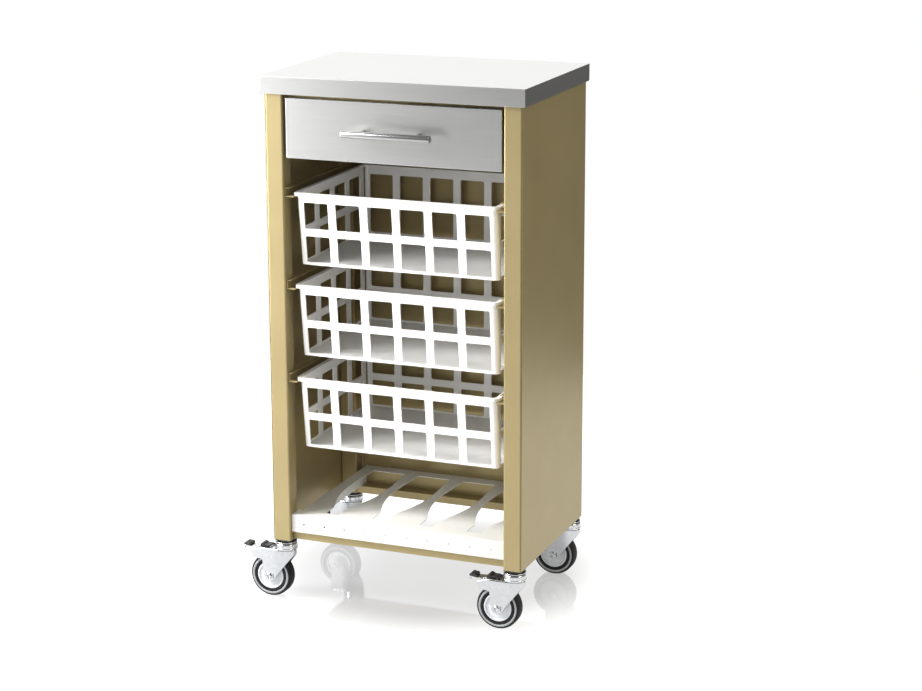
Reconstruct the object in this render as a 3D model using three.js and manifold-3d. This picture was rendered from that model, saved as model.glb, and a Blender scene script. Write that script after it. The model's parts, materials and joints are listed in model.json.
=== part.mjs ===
// Medication cart: a slim trolley on four swivel casters, with a steel worktop, one drawer, three
// pull-out baskets and a lower shelf that holds four bottles lying down.
//
// Millimetres. +X is the cart's right, +Y its rear, +Z up. The pieces are drawn about the centre
// line of the four posts, and the finished cart is moved so that the origin is on the floor,
// under the middle of its bounding box.

import * as THREE from 'three';
import { mergeVertices } from 'three/addons/utils/BufferGeometryUtils.js';
import Module from 'manifold-3d';

const wasm = await Module();
wasm.setup();

// ---- Driving dimensions ---------------------------------------------------------------------

const gap = 0.3; // left between separate pieces that bear on each other
const height = 900; // floor to the top of the worktop

const worktop = { halfWidth: 230, front: -160.5, rear: 154.5, depth: 29, sheet: 1.2 };
const underTop = height - worktop.depth;

const post = { size: 30, wall: 1.5, corner: 2.5, inner: 192.5, face: 154.5, bottom: 105 };
post.outer = post.inner + post.size;
post.top = underTop - gap;
post.centreX = post.inner + post.size / 2;
post.centreY = post.face - post.size / 2;

const plug = { flange: 1.8, depth: 25, holeRadius: 5.3 };
const sidePanel = { sheet: 1.2, setBack: 1.5 };
const backPanel = { sheet: 1.5, front: 150.8 };
const crossbar = {
  height: 13, depth: 25, wall: 1.5, low: 106.2,
  lowerFrontFace: -141.5, upperFrontFace: -133.5, rearFace: 150.5,
};

const drawer = {
  halfWidth: 187.9, low: 765.3, high: 864.3, face: -151.1, flange: 16.5, sheet: 1.2,
  boxHalfWidth: 179, boxLow: 772, boxHigh: 842, boxRear: 113,
};
const runner = {
  low: 789, high: 824, sheet: 1.5, play: 2.5, lip: 3.5, front: -133.5, rear: 143, drawerRear: 107,
};
const handle = { axisY: -176.5, axisZ: 814.8, length: 153, radius: 6, centres: 96, postRadius: 5 };

const basket = {
  rimTops: { top: 707.2, middle: 551.5, bottom: 392.1 },
  height: 123.4, wall: 2.5, corner: 8, rimCorner: 11, rimThickness: 5,
  rim: { halfWidth: 181, front: -146.8, rear: 138 },
  mouth: { halfWidth: 175.5, front: -142.3, rear: 135 },
  base: { halfWidth: 174.8, front: -128.7, rear: 134 },
};
const lattice = {
  rimBand: 15.9, openingHeight: 45.1, middleBar: 12.5,
  frontPitch: 56.7, frontOpening: 43.2, frontColumns: 6,
  sidePitch: 61.75, sideOpening: 46.75, sideColumns: 4, sideStart: -119.3,
  cornerSlotFront: 125, cornerSlotRear: 131.4, cornerSlotFoot: 9,
};
const rail = { web: 1.5, ledge: 2, ledgeInner: 177, flangeInner: 185, above: 8.5, halfLength: 149.5 };

const shelf = {
  top: 151.7, sheet: 1.2, lip: 31, front: -148.5, rear: 150.4,
  tabHalfWidth: 192, halfWidth: 185, tabRear: -122.5,
};
const bottle = {
  pitch: 85.7, count: 4, foot: 125, footHalf: 30.2, waist: 49, bodyHalf: 34.5,
  shoulder: 28, neckStart: -89, neckHalf: 12, neckEnd: -122,
};
const lipHoles = { count: 10, pitch: 37.6, first: -169.2, z: 135.5, radius: 1.75 };

const caster = {
  wheelRadius: 37.5, tyreHalfWidth: 12, hubRadius: 24, trail: 26,
  crownLow: 84, crownHigh: 87, forkInner: 14, forkOuter: 16.5,
  housingRadius: 19.5, housingTop: 98, boreRadius: 8.3, axleRadius: 4,
};
const fork = {
  tail: -62, bendStart: -10, front: 18.5, frontLow: 79, heel: 9.5,
  crownRear: -35, brakedCrownRear: -24,
};
const wheel = { boss: 9, web: 9, shoulder: 4 };
const stem = {
  raceRadius: 19, race: 3, collarRadius: 12, collarTop: 102.6, boltRadius: 5, boltTop: 127,
};
const axle = { x: -caster.trail, z: caster.wheelRadius, headRadius: 5.4, head: 2.6 };
const pedal = { pivotX: -38, pivotZ: 82, tip: -77, halfWidth: 11, pinRadius: 2.5 };

// ---- Finishes -------------------------------------------------------------------------------

function finish(color, roughness, metalness) {
  return new THREE.MeshStandardMaterial({ color, roughness, metalness });
}

const finishes = {
  paint: () => finish(0x9c8e69, 0.45, 0.4),
  steel: () => finish(0xb4b4b2, 0.35, 1.0),
  white: () => finish(0xeeece6, 0.5, 0.0),
  chrome: () => finish(0xd0d2d4, 0.15, 1.0),
  rubber: () => finish(0x1b1b1c, 0.8, 0.0),
  hub: () => finish(0xc2c5c8, 0.5, 0.0),
  black: () => finish(0x222222, 0.6, 0.0),
  board: () => finish(0xb08c5a, 0.9, 0.0),
};

// ---- Shapes ---------------------------------------------------------------------------------

const smooth = 3; // segments in each rounded corner
const smoothShoulder = 8; // segments in each shoulder of a bottle cut-out
const boltSides = 10;
const roundSides = 20;
const treadSides = 32;

function toSolid(geometry) {
  const bare = geometry.clone();
  bare.deleteAttribute('normal');
  bare.deleteAttribute('uv');
  const merged = mergeVertices(bare, 1e-4);
  return new wasm.Manifold(new wasm.Mesh({
    numProp: 3,
    vertProperties: new Float32Array(merged.attributes.position.array),
    triVerts: new Uint32Array(merged.index.array),
  }));
}

function toGeometry(solid) {
  const mesh = solid.getMesh();
  const geometry = new THREE.BufferGeometry();
  geometry.setAttribute('position', new THREE.BufferAttribute(mesh.vertProperties, 3));
  geometry.setIndex(new THREE.BufferAttribute(mesh.triVerts, 1));
  geometry.computeVertexNormals();
  return geometry;
}

function join(...pieces) {
  return toGeometry(pieces.map(toSolid).reduce((whole, piece) => whole.add(piece)));
}

function cut(base, ...tools) {
  return toGeometry(tools.map(toSolid).reduce((rest, tool) => rest.subtract(tool), toSolid(base)));
}

function intersect(a, b) {
  return toGeometry(toSolid(a).intersect(toSolid(b)));
}

// A box between two opposite corners, given in any order.
function block(a, b) {
  const size = a.map((value, i) => Math.abs(b[i] - value));
  const middle = a.map((value, i) => (value + b[i]) / 2);
  return new THREE.BoxGeometry(...size).translate(...middle);
}

// The four corners of a rectangle, each rounded by the same radius.
function roundedRectangle(left, low, right, high, radius) {
  const shape = new THREE.Shape();
  const quarter = Math.PI / 2;
  shape.absarc(right - radius, low + radius, radius, -quarter, 0);
  shape.absarc(right - radius, high - radius, radius, 0, quarter);
  shape.absarc(left + radius, high - radius, radius, quarter, 2 * quarter);
  shape.absarc(left + radius, low + radius, radius, 2 * quarter, 3 * quarter);
  return shape;
}

function polygon(points) {
  return new THREE.Shape(points.map(([a, b]) => new THREE.Vector2(a, b)));
}

function rectangle(left, low, right, high) {
  return polygon([[left, low], [right, low], [right, high], [left, high]]);
}

// An outline in X and Y, extruded upwards.
function alongZ(shape, low, high, curveSegments = smooth) {
  const options = { depth: high - low, bevelEnabled: false, curveSegments };
  return new THREE.ExtrudeGeometry(shape, options).translate(0, 0, low);
}

// An outline in X and Z, extruded from front to rear.
function alongY(shape, front, rear) {
  return alongZ(shape, 0, rear - front).rotateX(Math.PI / 2).translate(0, rear, 0);
}

// An outline in Y and Z, extruded from left to right.
function alongX(shape, left, right) {
  const upright = alongZ(shape, 0, right - left);
  return upright.rotateX(Math.PI / 2).rotateZ(Math.PI / 2).translate(left, 0, 0);
}

// A closed profile of [radius, height] points turned about Z.
function turned(points, segments) {
  const profile = points.map(([radius, z]) => new THREE.Vector2(radius, z));
  profile.push(profile[0].clone());
  return new THREE.LatheGeometry(profile, segments).rotateX(Math.PI / 2);
}

function rodAlongX(radius, left, right, y, z) {
  const rod = new THREE.CylinderGeometry(radius, radius, right - left, roundSides);
  return rod.rotateZ(Math.PI / 2).translate((left + right) / 2, y, z);
}

function rodAlongY(radius, front, rear, x, z, segments) {
  return new THREE.CylinderGeometry(radius, radius, rear - front, segments)
    .translate(x, (front + rear) / 2, z);
}

function rodAlongZ(radius, low, high, segments) {
  const rod = new THREE.CylinderGeometry(radius, radius, high - low, segments);
  return rod.rotateX(Math.PI / 2).translate(0, 0, (low + high) / 2);
}

// ---- Assembly -------------------------------------------------------------------------------

const cart = new THREE.Group();

function add(name, geometry, material, parent = cart) {
  const mesh = new THREE.Mesh(geometry, material);
  mesh.name = name;
  parent.add(mesh);
}

const sides = [['left', -1], ['right', 1]];
const ends = [['front', -1], ['rear', 1]];

// ---- Frame and panels -----------------------------------------------------------------------

// Square tube, open at both ends.
function postTube(x, y) {
  const half = post.size / 2;
  const bore = half - post.wall;
  const outside = roundedRectangle(x - half, y - half, x + half, y + half, post.corner);
  outside.holes.push(rectangle(x - bore, y - bore, x + bore, y + bore));
  return alongZ(outside, post.bottom, post.top);
}

// Plastic plug in the foot of a post, bored for the caster's bolt.
function postPlug(x, y) {
  const half = post.size / 2 - post.wall - gap;
  const flange = post.size / 2;
  const flangeTop = post.bottom - gap;
  const flangeLow = flangeTop - plug.flange;
  const top = post.bottom + plug.depth;
  const body = block([x - half, y - half, flangeLow], [x + half, y + half, top]);
  const plate = roundedRectangle(x - flange, y - flange, x + flange, y + flange, post.corner);
  const hole = rodAlongZ(plug.holeRadius, flangeLow - 1, top + 1, boltSides);
  return cut(join(body, alongZ(plate, flangeLow, flangeTop)), hole.translate(x, y, 0));
}

// Rectangular tube between two posts, open at both ends.
function crossbarTube(front, low) {
  const rear = front + crossbar.depth;
  const high = low + crossbar.height;
  const wall = crossbar.wall;
  const reach = post.inner - gap;
  const outside = rectangle(front, low, rear, high);
  outside.holes.push(rectangle(front + wall, low + wall, rear - wall, high - wall));
  return alongX(outside, -reach, reach);
}

for (const [side, x] of sides) {
  for (const [end, y] of ends) {
    const centre = [x * post.centreX, y * post.centreY];
    add(`post_${end}_${side}`, postTube(...centre), finishes.paint());
    add(`post_plug_${end}_${side}`, postPlug(...centre), finishes.black());
  }
  const near = x * (post.outer + gap);
  const far = near + x * sidePanel.sheet;
  const panel = block(
    [near, -post.face + sidePanel.setBack, post.bottom],
    [far, post.face, post.top],
  );
  add(`side_panel_${side}`, panel, finishes.paint());
}

const rearBarFront = crossbar.rearFace - crossbar.depth;
const upperBarLow = post.top - crossbar.height;
const crossbars = {
  lower_front: [crossbar.lowerFrontFace, crossbar.low],
  lower_rear: [rearBarFront, crossbar.low],
  upper_front: [crossbar.upperFrontFace, upperBarLow],
  upper_rear: [rearBarFront, upperBarLow],
};
for (const [place, [front, low]] of Object.entries(crossbars)) {
  add(`${place}_crossbar`, crossbarTube(front, low), finishes.paint());
}
add('back_panel', block(
  [-post.inner + gap, backPanel.front, post.bottom],
  [post.inner - gap, backPanel.front + backPanel.sheet, post.top],
), finishes.paint());

// ---- Worktop --------------------------------------------------------------------------------

// Folded steel tray, open below, over a core board.
const trayInside = worktop.sheet;
add('worktop_shell', cut(
  block([-worktop.halfWidth, worktop.front, underTop], [worktop.halfWidth, worktop.rear, height]),
  block(
    [-worktop.halfWidth + trayInside, worktop.front + trayInside, underTop - 1],
    [worktop.halfWidth - trayInside, worktop.rear - trayInside, height - trayInside],
  ),
), finishes.steel());
const coreInset = worktop.sheet + gap;
add('worktop_core', block(
  [-worktop.halfWidth + coreInset, worktop.front + coreInset, underTop],
  [worktop.halfWidth - coreInset, worktop.rear - coreInset, height - coreInset],
), finishes.board());

// ---- Drawer ---------------------------------------------------------------------------------

// Folded steel front, open at the back.
function drawerFront() {
  const sheet = drawer.sheet;
  const rear = drawer.face + drawer.flange;
  return cut(
    block([-drawer.halfWidth, drawer.face, drawer.low], [drawer.halfWidth, rear, drawer.high]),
    block(
      [-drawer.halfWidth + sheet, drawer.face + sheet, drawer.low + sheet],
      [drawer.halfWidth - sheet, rear + 1, drawer.high - sheet],
    ),
  );
}

// Sheet steel box, open at the top.
function drawerBox() {
  const sheet = drawer.sheet;
  const front = drawer.face + drawer.flange + gap;
  const half = drawer.boxHalfWidth;
  return cut(
    block([-half, front, drawer.boxLow], [half, drawer.boxRear, drawer.boxHigh]),
    block(
      [-half + sheet, front + sheet, drawer.boxLow + sheet],
      [half - sheet, drawer.boxRear - sheet, drawer.boxHigh + 1],
    ),
  );
}

// Channel on the post, opening towards the drawer.
function cabinetRunner(x) {
  const web = post.inner - gap;
  const lip = drawer.boxHalfWidth + runner.lip;
  const sheet = runner.sheet;
  const section = polygon([
    [x * web, runner.low], [x * web, runner.high],
    [x * lip, runner.high], [x * lip, runner.high - sheet],
    [x * (web - sheet), runner.high - sheet], [x * (web - sheet), runner.low + sheet],
    [x * lip, runner.low + sheet], [x * lip, runner.low],
  ]);
  return alongY(section, runner.front, runner.rear);
}

// Narrower channel on the drawer, opening towards the post and riding inside the other.
function drawerRunner(x) {
  const web = drawer.boxHalfWidth + gap;
  const lip = post.inner - gap - runner.sheet - runner.play;
  const sheet = runner.sheet;
  const low = runner.low + sheet + runner.play;
  const high = runner.high - sheet - runner.play;
  const section = polygon([
    [x * web, low], [x * web, high],
    [x * lip, high], [x * lip, high - sheet],
    [x * (web + sheet), high - sheet], [x * (web + sheet), low + sheet],
    [x * lip, low + sheet], [x * lip, low],
  ]);
  return alongY(section, runner.front, runner.drawerRear);
}

// Round post between the drawer front and the bar, saddled to fit the bar.
function handleStandoff(x) {
  const rear = drawer.face - gap;
  const front = handle.axisY + handle.radius - 1.2;
  const stub = rodAlongY(handle.postRadius, front, rear, x, handle.axisZ, roundSides);
  const reach = handle.postRadius + 2;
  const bar = rodAlongX(handle.radius + gap, x - reach, x + reach, handle.axisY, handle.axisZ);
  return cut(stub, bar);
}

add('drawer_front', drawerFront(), finishes.steel());
add('drawer_box', drawerBox(), finishes.steel());
add('handle_bar', rodAlongX(
  handle.radius, -handle.length / 2, handle.length / 2, handle.axisY, handle.axisZ,
), finishes.chrome());
for (const [side, x] of sides) {
  add(`drawer_runner_cabinet_${side}`, cabinetRunner(x), finishes.steel());
  add(`drawer_runner_drawer_${side}`, drawerRunner(x), finishes.steel());
  add(`handle_standoff_${side}`, handleStandoff(x * handle.centres / 2), finishes.chrome());
}

// ---- Baskets and their rails ----------------------------------------------------------------

// A block with rounded upright edges, whose lower face is drawn in to a second rectangle.
function taperedBlock(upper, lower, corner, low, high) {
  const shape = roundedRectangle(
    -upper.halfWidth, upper.front, upper.halfWidth, upper.rear, corner,
  );
  const geometry = alongZ(shape, low, high);
  const points = geometry.attributes.position;
  const scaleX = lower.halfWidth / upper.halfWidth;
  const scaleY = (lower.rear - lower.front) / (upper.rear - upper.front);
  for (let i = 0; i < points.count; i += 1) {
    if (points.getZ(i) < (low + high) / 2) {
      points.setX(i, points.getX(i) * scaleX);
      points.setY(i, lower.front + (points.getY(i) - upper.front) * scaleY);
    }
  }
  return geometry;
}

function inset(rectangle, by) {
  return {
    halfWidth: rectangle.halfWidth - by,
    front: rectangle.front + by,
    rear: rectangle.rear - by,
  };
}

// Bars that cut the openings of the lattice, each right through two opposite walls.
function latticeCutters(rimTop) {
  const cutters = [];
  const beyond = 200;
  const upperHigh = rimTop - lattice.rimBand;
  const rowStep = lattice.openingHeight + lattice.middleBar;
  for (const high of [upperHigh, upperHigh - rowStep]) {
    const low = high - lattice.openingHeight;
    for (let i = 0; i < lattice.frontColumns; i += 1) {
      const x = (i - (lattice.frontColumns - 1) / 2) * lattice.frontPitch;
      const half = lattice.frontOpening / 2;
      cutters.push(block([x - half, -beyond, low], [x + half, beyond, high]));
    }
    for (let i = 0; i < lattice.sideColumns; i += 1) {
      const y = lattice.sideStart + i * lattice.sidePitch;
      cutters.push(block([-beyond, y, low], [beyond, y + lattice.sideOpening, high]));
    }
  }
  const slotLow = rimTop - basket.height + lattice.cornerSlotFoot;
  cutters.push(block(
    [-beyond, lattice.cornerSlotFront, slotLow],
    [beyond, lattice.cornerSlotRear, rimTop - basket.rimThickness],
  ));
  return cutters;
}

// Moulded basket: solid floor, lattice walls and a rim flange that hangs on the rails.
function basketShell(rimTop) {
  const base = rimTop - basket.height;
  const wall = basket.wall;
  const outside = taperedBlock(basket.mouth, basket.base, basket.corner, base, rimTop);
  const flange = taperedBlock(
    basket.rim, basket.rim, basket.rimCorner, rimTop - basket.rimThickness, rimTop,
  );
  const inside = taperedBlock(
    inset(basket.mouth, wall), inset(basket.base, wall), basket.corner - wall,
    base + wall, rimTop + 1,
  );
  return cut(join(outside, flange), inside, ...latticeCutters(rimTop));
}

// Folded channel on the inner faces of two posts; its lower flange is the ledge for the rim.
function basketRail(x, rimTop) {
  const web = post.inner - gap;
  const ledgeTop = rimTop - basket.rimThickness - gap;
  const low = ledgeTop - rail.ledge;
  const high = rimTop + rail.above;
  const section = polygon([
    [x * web, low], [x * web, high],
    [x * rail.flangeInner, high], [x * rail.flangeInner, high - rail.web],
    [x * (web - rail.web), high - rail.web], [x * (web - rail.web), ledgeTop],
    [x * rail.ledgeInner, ledgeTop], [x * rail.ledgeInner, low],
  ]);
  return alongY(section, -rail.halfLength, rail.halfLength);
}

for (const [place, rimTop] of Object.entries(basket.rimTops)) {
  add(`basket_${place}`, basketShell(rimTop), finishes.white());
  for (const [side, x] of sides) {
    add(`basket_rail_${place}_${side}`, basketRail(x, rimTop), finishes.paint());
  }
}

// ---- Bottle shelf ---------------------------------------------------------------------------

// Outline of a bottle lying with its neck to the front.
function bottleOutline(x) {
  const shape = new THREE.Path();
  const bend = { high: -33, highHalf: 34.5, low: -58, lowHalf: 20 };
  shape.moveTo(x - bottle.footHalf, bottle.foot);
  shape.lineTo(x - bottle.bodyHalf, bottle.waist);
  shape.lineTo(x - bottle.bodyHalf, bottle.shoulder);
  shape.bezierCurveTo(
    x - bend.highHalf, bend.high, x - bend.lowHalf, bend.low,
    x - bottle.neckHalf, bottle.neckStart,
  );
  shape.lineTo(x - bottle.neckHalf, bottle.neckEnd);
  shape.lineTo(x + bottle.neckHalf, bottle.neckEnd);
  shape.lineTo(x + bottle.neckHalf, bottle.neckStart);
  shape.bezierCurveTo(
    x + bend.lowHalf, bend.low, x + bend.highHalf, bend.high,
    x + bottle.bodyHalf, bottle.shoulder,
  );
  shape.lineTo(x + bottle.bodyHalf, bottle.waist);
  shape.lineTo(x + bottle.footHalf, bottle.foot);
  return shape;
}

// Sheet with its front and sides folded down: the side folds stand on the crossbars, and the front
// tab fills the space between the front posts.
function bottleShelf() {
  const { tabHalfWidth: tab, halfWidth: half, sheet, front, rear, tabRear } = shelf;
  const low = shelf.top - shelf.lip;
  const foot = crossbar.low + crossbar.height + gap;
  const under = shelf.top - sheet;
  const foldRear = rear - 2 * sheet;
  const plate = polygon([
    [-tab, front], [tab, front], [tab, tabRear], [half, tabRear],
    [half, rear], [-half, rear], [-half, tabRear], [-tab, tabRear],
  ]);
  for (let i = 0; i < bottle.count; i += 1) {
    plate.holes.push(bottleOutline((i - (bottle.count - 1) / 2) * bottle.pitch));
  }
  const folds = [
    block([-tab, front, low], [tab, front + sheet, shelf.top]),
    block([-half, tabRear - sheet, foot], [-half + sheet, foldRear, shelf.top]),
    block([half - sheet, tabRear - sheet, foot], [half, foldRear, shelf.top]),
  ];
  const holes = [];
  for (let i = 0; i < lipHoles.count; i += 1) {
    const x = lipHoles.first + i * lipHoles.pitch;
    holes.push(rodAlongY(lipHoles.radius, front - 2, front + 4, x, lipHoles.z, boltSides));
  }
  const sheetTop = alongZ(plate, under, shelf.top, smoothShoulder);
  return cut(join(sheetTop, ...folds), ...holes);
}

add('bottle_shelf', bottleShelf(), finishes.white());

// ---- Casters --------------------------------------------------------------------------------

// Everything here is drawn with the swivel axis on X = Y = 0 and the wheel trailing towards -X.

// The fork seen from the side; a braked fork reaches further over the tyre.
function forkOutline(braked) {
  const shape = new THREE.Shape();
  shape.moveTo(fork.front, caster.crownHigh);
  shape.lineTo(fork.crownRear, caster.crownHigh);
  if (braked) {
    shape.lineTo(-51, 83.5);
    shape.lineTo(-60, 78.5);
    shape.lineTo(-53, 65.5);
    shape.lineTo(-38, 63.5);
  } else {
    shape.lineTo(-40, 80);
    shape.lineTo(-38.5, 63.5);
  }
  shape.absarc(axle.x, axle.z, fork.heel, Math.PI, 1.8 * Math.PI);
  shape.lineTo(fork.front, fork.frontLow);
  return shape;
}

// The fork seen from above: two parallel sides that close in a half ellipse at the front.
function forkPlan(offset) {
  const half = caster.forkOuter - offset;
  const shape = new THREE.Shape();
  shape.moveTo(fork.tail, -half);
  shape.lineTo(fork.bendStart, -half);
  shape.absellipse(
    fork.bendStart, 0, fork.front - fork.bendStart - offset, half, -Math.PI / 2, Math.PI / 2,
  );
  shape.lineTo(fork.tail, half);
  return shape;
}

// Pressed fork: a sheet wrapped round the front, the crown that closes its top and the round
// swivel housing on the crown.
function casterFork(braked) {
  const { forkInner: inner, forkOuter: outer, crownLow, crownHigh, housingRadius } = caster;
  const low = axle.z - fork.heel - 1;
  const bends = 6;
  const wrap = cut(
    alongZ(forkPlan(0), low, crownHigh, bends),
    alongZ(forkPlan(outer - inner), low - 1, crownHigh + 1, bends),
    block([fork.tail - 1, -inner, low - 1], [fork.tail + 1, inner, crownHigh + 1]),
  );
  const crown = alongZ(forkPlan(gap), crownLow, crownHigh, bends);
  const crownRear = braked ? fork.brakedCrownRear : fork.crownRear;
  const pieces = [
    intersect(wrap, alongY(forkOutline(braked), -outer - 1, outer + 1)),
    intersect(crown, block([crownRear, -outer, crownLow - 1], [fork.front, outer, height])),
    turned([
      [2, crownLow], [housingRadius - 1.5, crownLow], [housingRadius, crownHigh],
      [housingRadius, caster.housingTop - 3], [housingRadius - 2.5, caster.housingTop],
      [2, caster.housingTop],
    ], roundSides),
  ];
  const bore = rodAlongZ(caster.boreRadius, crownLow - 1, caster.housingTop + 1, roundSides);
  const reach = outer + 1;
  const axleHole = rodAlongY(caster.axleRadius + gap, -reach, reach, axle.x, axle.z, boltSides);
  return cut(join(...pieces), bore, axleHole);
}

// Kingpin, upper race and bolt, fixed to the post.
function casterStem() {
  const pinRadius = caster.boreRadius - gap;
  const raceLow = caster.housingTop + gap;
  const raceHigh = raceLow + stem.race;
  return turned([
    [0, caster.crownLow], [pinRadius, caster.crownLow], [pinRadius, raceLow],
    [stem.raceRadius, raceLow], [stem.raceRadius, raceHigh], [stem.collarRadius, raceHigh],
    [stem.collarRadius, stem.collarTop], [stem.boltRadius, stem.collarTop],
    [stem.boltRadius, stem.boltTop], [0, stem.boltTop],
  ], roundSides);
}

function axleBolt() {
  const head = caster.forkOuter + gap;
  const end = head + axle.head;
  return turned([
    [0, -end], [axle.headRadius, -end], [axle.headRadius, -head], [caster.axleRadius, -head],
    [caster.axleRadius, head], [axle.headRadius, head], [axle.headRadius, end], [0, end],
  ], boltSides).rotateX(Math.PI / 2).translate(axle.x, 0, axle.z);
}

function wheelHub() {
  const bore = caster.axleRadius + gap;
  const boss = caster.forkInner - gap;
  const radius = caster.hubRadius;
  return turned([
    [bore, -boss], [wheel.boss, -boss], [wheel.boss, -wheel.web], [radius, -wheel.web],
    [radius, wheel.web], [wheel.boss, wheel.web], [wheel.boss, boss], [bore, boss],
  ], roundSides).rotateX(Math.PI / 2).translate(axle.x, 0, axle.z);
}

function tyre() {
  const inner = caster.hubRadius + gap;
  const outer = caster.wheelRadius;
  const half = caster.tyreHalfWidth;
  const shoulder = wheel.shoulder;
  return turned([
    [inner, -half], [outer - shoulder, -half], [outer, -half + shoulder],
    [outer, half - shoulder], [outer - shoulder, half], [inner, half],
  ], treadSides).rotateX(Math.PI / 2).translate(axle.x, 0, axle.z);
}

// Rocker between the fork plates, with an outer pad that locks and an inner tab that releases.
function brakePedal() {
  const rocker = alongY(polygon([
    [-32, 80], [-30, 87.6], [-25.5, 87.6], [-25.5, 91], [-37, 91.5], [-39, 94.5], [-45, 95],
    [-47, 89], [-52, 86], [-58, 87], [-61, 91.5], [-73, 94.5], [pedal.tip, 91], [pedal.tip, 86],
    [-70, 81], [-46, 79],
  ]), -pedal.halfWidth, pedal.halfWidth);
  const reach = caster.forkInner - gap;
  const pin = rodAlongY(pedal.pinRadius, -reach, reach, pedal.pivotX, pedal.pivotZ, boltSides);
  return join(rocker, pin);
}

for (const [end, y] of ends) {
  for (const [side, x] of sides) {
    const place = new THREE.Group();
    place.position.set(x * post.centreX, y * post.centreY, 0);
    const braked = end === 'front';
    const suffix = `${end}_${side}`;
    add(`caster_stem_${suffix}`, casterStem(), finishes.chrome(), place);
    add(`caster_fork_${suffix}`, casterFork(braked), finishes.chrome(), place);
    add(`caster_axle_${suffix}`, axleBolt(), finishes.chrome(), place);
    add(`wheel_hub_${suffix}`, wheelHub(), finishes.hub(), place);
    add(`wheel_tyre_${suffix}`, tyre(), finishes.rubber(), place);
    if (braked) {
      add(`brake_pedal_${side}`, brakePedal(), finishes.black(), place);
    }
    cart.add(place);
  }
}

// ---- Origin ---------------------------------------------------------------------------------

// The box runs from the left pedal's tip to the worktop's right edge, and from the front of the
// handle bar to the back of the rear casters' swivel housings.
const leftmost = -post.centreX + pedal.tip;
const foremost = handle.axisY - handle.radius;
const rearmost = post.centreY + caster.housingRadius;
cart.position.set(
  -(leftmost + worktop.halfWidth) / 2,
  -(foremost + rearmost) / 2,
  0,
);

export default cart;
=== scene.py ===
"""Looks of the medication cart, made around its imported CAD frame.

The frame is in metres, with +X to the cart's right, +Y to its rear and +Z up. Shapes are drawn
here in millimetres and become metres when their mesh is made.
"""

import json
import math

import bmesh
import bpy
from mathutils import Matrix, Vector


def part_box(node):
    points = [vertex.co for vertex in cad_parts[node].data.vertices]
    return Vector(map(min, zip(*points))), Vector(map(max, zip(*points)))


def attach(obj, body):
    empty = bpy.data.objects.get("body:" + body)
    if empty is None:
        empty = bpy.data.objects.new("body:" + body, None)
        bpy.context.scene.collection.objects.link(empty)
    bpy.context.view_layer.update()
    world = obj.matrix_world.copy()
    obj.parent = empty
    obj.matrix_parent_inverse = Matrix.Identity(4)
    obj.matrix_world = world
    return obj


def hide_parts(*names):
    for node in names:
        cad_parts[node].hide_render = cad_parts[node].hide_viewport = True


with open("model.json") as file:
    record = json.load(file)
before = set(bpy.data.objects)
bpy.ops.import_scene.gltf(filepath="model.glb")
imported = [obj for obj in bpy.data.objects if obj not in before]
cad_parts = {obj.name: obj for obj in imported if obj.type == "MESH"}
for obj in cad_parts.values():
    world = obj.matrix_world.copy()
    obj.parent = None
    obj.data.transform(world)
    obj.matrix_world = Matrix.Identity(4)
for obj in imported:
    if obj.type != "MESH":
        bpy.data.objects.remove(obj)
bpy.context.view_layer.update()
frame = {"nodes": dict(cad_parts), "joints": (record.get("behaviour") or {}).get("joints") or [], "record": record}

MM = 0.001
QUARTER = math.pi / 2
MERGE = 0.001  # points closer than this, in millimetres, are one point
SHARP = math.radians(40)  # an edge that turns by more than this is a sharp one

SIDES = ("left", "right")
ENDS = ("front", "rear")
BASKETS = ("top", "middle", "bottom")

# ---- Shader nodes ---------------------------------------------------------------------------


def new_material(name, color, roughness, metallic=0.0, coat=0.0):
    material = bpy.data.materials.new(name)
    material.use_nodes = True
    shader = shader_of(material)
    shader.inputs["Base Color"].default_value = (*color, 1)
    shader.inputs["Roughness"].default_value = roughness
    shader.inputs["Metallic"].default_value = metallic
    shader.inputs["Coat Weight"].default_value = coat
    return material


def shader_of(material):
    return material.node_tree.nodes["Principled BSDF"]


def add_node(tree, kind, **inputs):
    """A new shader node with the given values in its sockets."""
    node = tree.nodes.new("ShaderNode" + kind)
    for name, value in inputs.items():
        node.inputs[name.replace("_", " ")].default_value = value
    return node


def grain(material, size, stretch=(1, 1, 1), detail=2.0):
    """Noise about as coarse as size, in millimetres, and drawn out along the axes by stretch."""
    tree = material.node_tree
    place = add_node(tree, "TexCoord")
    mapping = add_node(tree, "Mapping", Scale=[1 / s for s in stretch])
    noise = add_node(tree, "TexNoise", Scale=1 / (size * MM), Detail=detail)
    tree.links.new(place.outputs["Object"], mapping.inputs["Vector"])
    tree.links.new(mapping.outputs["Vector"], noise.inputs["Vector"])
    return noise.outputs["Fac"]


def remap(material, value, low, high):
    """The middle of a noise, widened to run from low to high."""
    tree = material.node_tree
    contrast = 0.25
    node = add_node(tree, "MapRange", From_Min=0.5 - contrast, From_Max=0.5 + contrast)
    node.inputs["To Min"].default_value = low
    node.inputs["To Max"].default_value = high
    tree.links.new(value, node.inputs["Value"])
    return node.outputs["Result"]


def vary(material, socket, value, low, high):
    """Runs a number on the shader from low to high."""
    result = remap(material, value, low, high)
    material.node_tree.links.new(result, shader_of(material).inputs[socket])


def tint(material, value, dark, light):
    """Runs the shader's colour from dark to light."""
    tree = material.node_tree
    ramp = tree.nodes.new("ShaderNodeValToRGB")
    ramp.color_ramp.elements[0].color = (*dark, 1)
    ramp.color_ramp.elements[1].color = (*light, 1)
    tree.links.new(remap(material, value, 0, 1), ramp.inputs["Fac"])
    tree.links.new(ramp.outputs["Color"], shader_of(material).inputs["Base Color"])


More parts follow.
